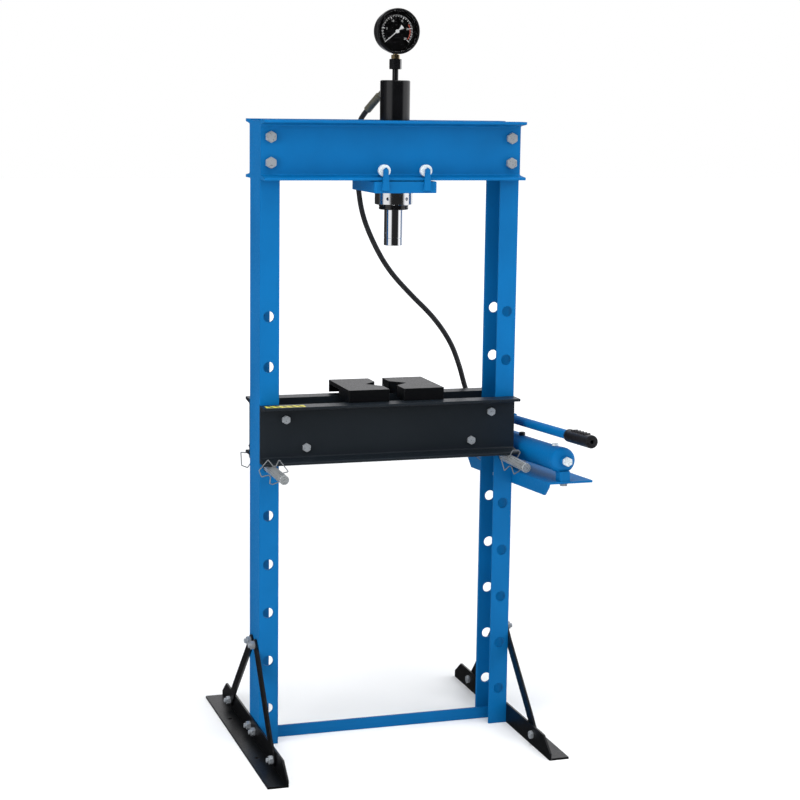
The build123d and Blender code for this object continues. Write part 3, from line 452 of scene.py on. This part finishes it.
# every how many half units, inner radius, half width
TICKS = ((10, 31.5, 0.9), (2, 34.0, 0.6), (1, 36.0, 0.4))
TICK_HEIGHT = 0.15
RED_RADII = (31.3, 33.3)
RED_ANGLES = (30.0, -36.0)
RED_STEPS = 24
PRINT_HEIGHT = 0.12
NUMBER_RADIUS = 26.5
NUMBER_SIZE = 6.6


def on_dial(u, v, depth):
    """A point on the dial: u right, v up, depth towards the operator, in millimetres."""
    return (GAUGE_CENTRE.x + u * MM, -(DIAL_FRONT + depth) * MM, GAUGE_CENTRE.z + v * MM)


def polar(radius, angle):
    a = math.radians(angle)
    return (radius * math.cos(a), radius * math.sin(a))


def ring_sector(bm, inner, outer, start, end, depth, steps):
    """Adds part of a flat ring to the dial, as a row of short plates."""
    for k in range(steps):
        a = start + (end - start) * k / steps
        b = start + (end - start) * (k + 1) / steps
        outline = (polar(inner, a), polar(inner, b), polar(outer, b), polar(outer, a))
        slab(bm, outline, 0.0, depth, on_dial)


def make_dial_marks():
    """Ticks all round the scale, and a red arc near its end."""
    bm = bmesh.new()
    for step in range(SCALE_TOP * 2 + 1):
        angle = SCALE_START - SCALE_SWEEP * step / (SCALE_TOP * 2)
        inner, half = next((radius, width) for every, radius, width in TICKS if step % every == 0)
        along = Vector(polar(1.0, angle))
        across = Vector((-along.y, along.x)) * half
        a, b = along * inner, along * TICK_OUTER
        outline = [tuple(p) for p in (a - across, b - across, b + across, a + across)]
        slab(bm, outline, 0.0, TICK_HEIGHT, on_dial)
    mesh = bpy.data.meshes.new("dial_marks")
    bm.to_mesh(mesh)
    bm.free()
    new_piece("dial_marks", mesh, "head", "white")

    bm = bmesh.new()
    ring_sector(bm, *RED_RADII, *RED_ANGLES, PRINT_HEIGHT, RED_STEPS)
    bmesh.ops.remove_doubles(bm, verts=bm.verts, dist=1e-7)
    mesh = bpy.data.meshes.new("dial_red_arc")
    bm.to_mesh(mesh)
    bm.free()
    new_piece("dial_red_arc", mesh, "head", "red")


def text_mesh(name, words, size, at, depth=PRINT_HEIGHT):
    """Flat raised lettering on the dial, centred on a point."""
    data = bpy.data.curves.new(name, "FONT")
    data.body = words
    data.size = size * MM
    data.align_x = "CENTER"
    data.align_y = "CENTER"
    data.extrude = depth * 0.5 * MM
    data.resolution_u = 3
    holder = bpy.data.objects.new(name, data)
    scene.collection.objects.link(holder)
    bpy.context.view_layer.update()
    mesh = bpy.data.meshes.new_from_object(holder)
    bpy.data.objects.remove(holder)
    place = Vector(on_dial(at[0], at[1], depth * 0.5))
    mesh.transform(Matrix.Translation(place) @ Matrix.Rotation(math.radians(90), 4, "X"))
    return mesh


def make_dial_numbers():
    """Every fifth unit's number, inside the ticks."""
    for value in range(0, SCALE_TOP + 1, 5):
        angle = SCALE_START - SCALE_SWEEP * value / SCALE_TOP
        at = polar(NUMBER_RADIUS, angle)
        name = f"dial_number_{value}"
        new_piece(name, text_mesh(name, str(value), NUMBER_SIZE, at), "head", "white")


# ---------------------------------------------------------------- stripe label on the bed
STRIP_LENGTH = 96.0
STRIP_WIDTH = 24.0
STRIP_INSET = (8.0, 7.0)
STRIP_MARGIN = 3.0
STRIP_HEIGHT = 0.2
STRIPE_HEIGHT = 0.3
STRIPE_COUNT = 5
STRIPE_LEAN = 9.0
STRIPE_BAND = 8.5


def make_bed_label():
    """A plain black and yellow caution strip on the bed's front flange."""
    low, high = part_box("bed_channel_front")
    top = high[2] / MM
    front = low[1] / MM + STRIP_INSET[1]
    left = low[0] / MM + STRIP_INSET[0]
    length, width = STRIP_LENGTH, STRIP_WIDTH

    def place(u, v, depth):
        return ((left + u) * MM, (front + v) * MM, (top + depth) * MM)

    bm = bmesh.new()
    slab(bm, ((0, 0), (length, 0), (length, width), (0, width)), 0.0, STRIP_HEIGHT, place)
    mesh = bpy.data.meshes.new("caution_strip")
    bm.to_mesh(mesh)
    bm.free()
    new_piece("caution_strip", mesh, "bed", "yellow")

    bm = bmesh.new()
    pitch = (length - 2 * STRIP_MARGIN) / STRIPE_COUNT
    for k in range(STRIPE_COUNT):
        start = STRIP_MARGIN + k * pitch
        outline = (
            (start + STRIPE_LEAN, STRIP_MARGIN),
            (start + STRIPE_LEAN + STRIPE_BAND, STRIP_MARGIN),
            (start + STRIPE_BAND, width - STRIP_MARGIN),
            (start, width - STRIP_MARGIN),
        )
        outline = [(min(u, length - 2.0), v) for u, v in outline]
        slab(bm, outline, STRIP_HEIGHT, STRIPE_HEIGHT, place)
    mesh = bpy.data.meshes.new("caution_stripes")
    bm.to_mesh(mesh)
    bm.free()
    new_piece("caution_stripes", mesh, "bed", "label_black")


# ---------------------------------------------------------------- studio
FLOOR_SIZE = 30.0
FLOOR_DROP = 0.0005
FLOOR_FADE = 7.0  # metres over which the floor brightens to the white behind it
WHITE = (1.0, 1.0, 1.0, 1.0)
AMBIENT = (0.50, 0.52, 0.54, 1.0)

# what gloss sees around the press: share of a turn from the left by way of the front, and brightness
REFLECTED = (
    (0.00, 0.25),
    (0.03, 0.95),
    (0.12, 0.95),
    (0.155, 0.02),
    (0.36, 0.02),
    (0.40, 1.10),
    (0.50, 1.10),
    (0.56, 1.00),
    (0.74, 1.00),
    (0.77, 0.03),
    (0.92, 0.03),
    (1.00, 0.25),
)


def make_floor():
    """Pale paper floor with a painted glow that grows with distance from the press until it matches the
    white behind; gloss sees the surroundings instead of it.
    """
    bm = bmesh.new()
    bmesh.ops.create_grid(bm, x_segments=1, y_segments=1, size=FLOOR_SIZE)
    mesh = bpy.data.meshes.new("floor")
    bm.to_mesh(mesh)
    bm.free()
    floor = bpy.data.objects.new("floor", mesh)
    floor.location.z = -FLOOR_DROP
    floor.visible_glossy = False
    scene.collection.objects.link(floor)
    s = Shader("glowing_floor_paper")
    s.set(Specular_IOR_Level=0.1)
    away = s.node("ShaderNodeTexGradient")
    away.gradient_type = "SPHERICAL"
    spread = s.node("ShaderNodeMapping")
    spread.inputs["Scale"].default_value = (1 / FLOOR_FADE,) * 3
    s.link(s.coords, spread.inputs["Vector"])
    s.link(spread.outputs["Vector"], away.inputs["Vector"])
    # painted light: the floor itself glows, with no glow within about 1.4 m of the press and 0.7 beyond
    # about 6 m, so that it merges with the white behind
    s.link(s.ramp(away.outputs["Fac"], 0.70, 0.0, 0.15, 0.80), s.shader.inputs["Emission Color"])
    s.set(Emission_Strength=1.0)
    mesh.materials.append(s.finish(s.ramp(s.noise(0.6, 3.0), 0.93, 0.95), s.ramp(s.noise(3.0), 0.85, 0.95)))


def make_world():
    """White behind the press, even light on its paint, and dark and bright stripes for metal to reflect."""
    world = bpy.data.worlds.new("studio")
    scene.world = world
    world.use_nodes = True
    tree = world.node_tree
    coords = tree.nodes.new("ShaderNodeTexCoord")
    around = tree.nodes.new("ShaderNodeTexGradient")
    around.gradient_type = "RADIAL"
    tree.links.new(coords.outputs["Generated"], around.inputs["Vector"])
    stripes = tree.nodes.new("ShaderNodeValToRGB")
    ramp = stripes.color_ramp
    while len(ramp.elements) < len(REFLECTED):
        ramp.elements.new(0.5)
    for element, (place, level) in zip(ramp.elements, REFLECTED):
        element.position = place
        element.color = (level, level, level * 1.02, 1.0)
    tree.links.new(around.outputs["Fac"], stripes.inputs["Fac"])

    path = tree.nodes.new("ShaderNodeLightPath")
    lit = tree.nodes.new("ShaderNodeMix")
    lit.data_type = "RGBA"
    lit.inputs["A"].default_value = AMBIENT
    tree.links.new(path.outputs["Is Glossy Ray"], lit.inputs["Factor"])
    tree.links.new(stripes.outputs["Color"], lit.inputs["B"])
    seen = tree.nodes.new("ShaderNodeMix")
    seen.data_type = "RGBA"
    seen.inputs["B"].default_value = WHITE
    tree.links.new(path.outputs["Is Camera Ray"], seen.inputs["Factor"])
    tree.links.new(lit.outputs["Result"], seen.inputs["A"])
    background = tree.nodes["Background"]
    background.inputs["Strength"].default_value = 1.0
    tree.links.new(seen.outputs["Result"], background.inputs["Color"])


# name, place, where it points, width, height, watts
PANELS = (
    ("left_panel", (-3.2, -1.4, 1.6), (0.0, 0.0, 1.0), 2.6, 3.0, 104),
    ("right_panel", (3.4, -1.6, 2.0), (0.0, 0.0, 1.0), 2.2, 3.0, 70),
    ("top_panel", (0.3, -0.9, 4.2), (0.0, 0.0, 0.8), 3.4, 3.0, 120),
    ("front_panel", (0.6, -5.5, 3.4), (0.0, 0.0, 0.9), 3.0, 2.0, 60),
)


def make_lights():
    """Large soft panels that light the paint and stay out of its reflections."""
    for name, at, towards, width, height, power in PANELS:
        data = bpy.data.lights.new(name, "AREA")
        data.shape = "RECTANGLE"
        data.size = width
        data.size_y = height
        data.energy = power
        light = bpy.data.objects.new(name, data)
        light.location = at
        light.rotation_euler = (Vector(towards) - Vector(at)).to_track_quat("-Z", "Y").to_euler()
        light.visible_glossy = False
        scene.collection.objects.link(light)
    scene.view_settings.view_transform = "Standard"
    scene.view_settings.look = "None"
    scene.view_settings.exposure = 0.0


make_camera()
make_hose()
dress_nodes()
make_dial_marks()
make_dial_numbers()
make_bed_label()
make_floor()
make_world()
make_lights()
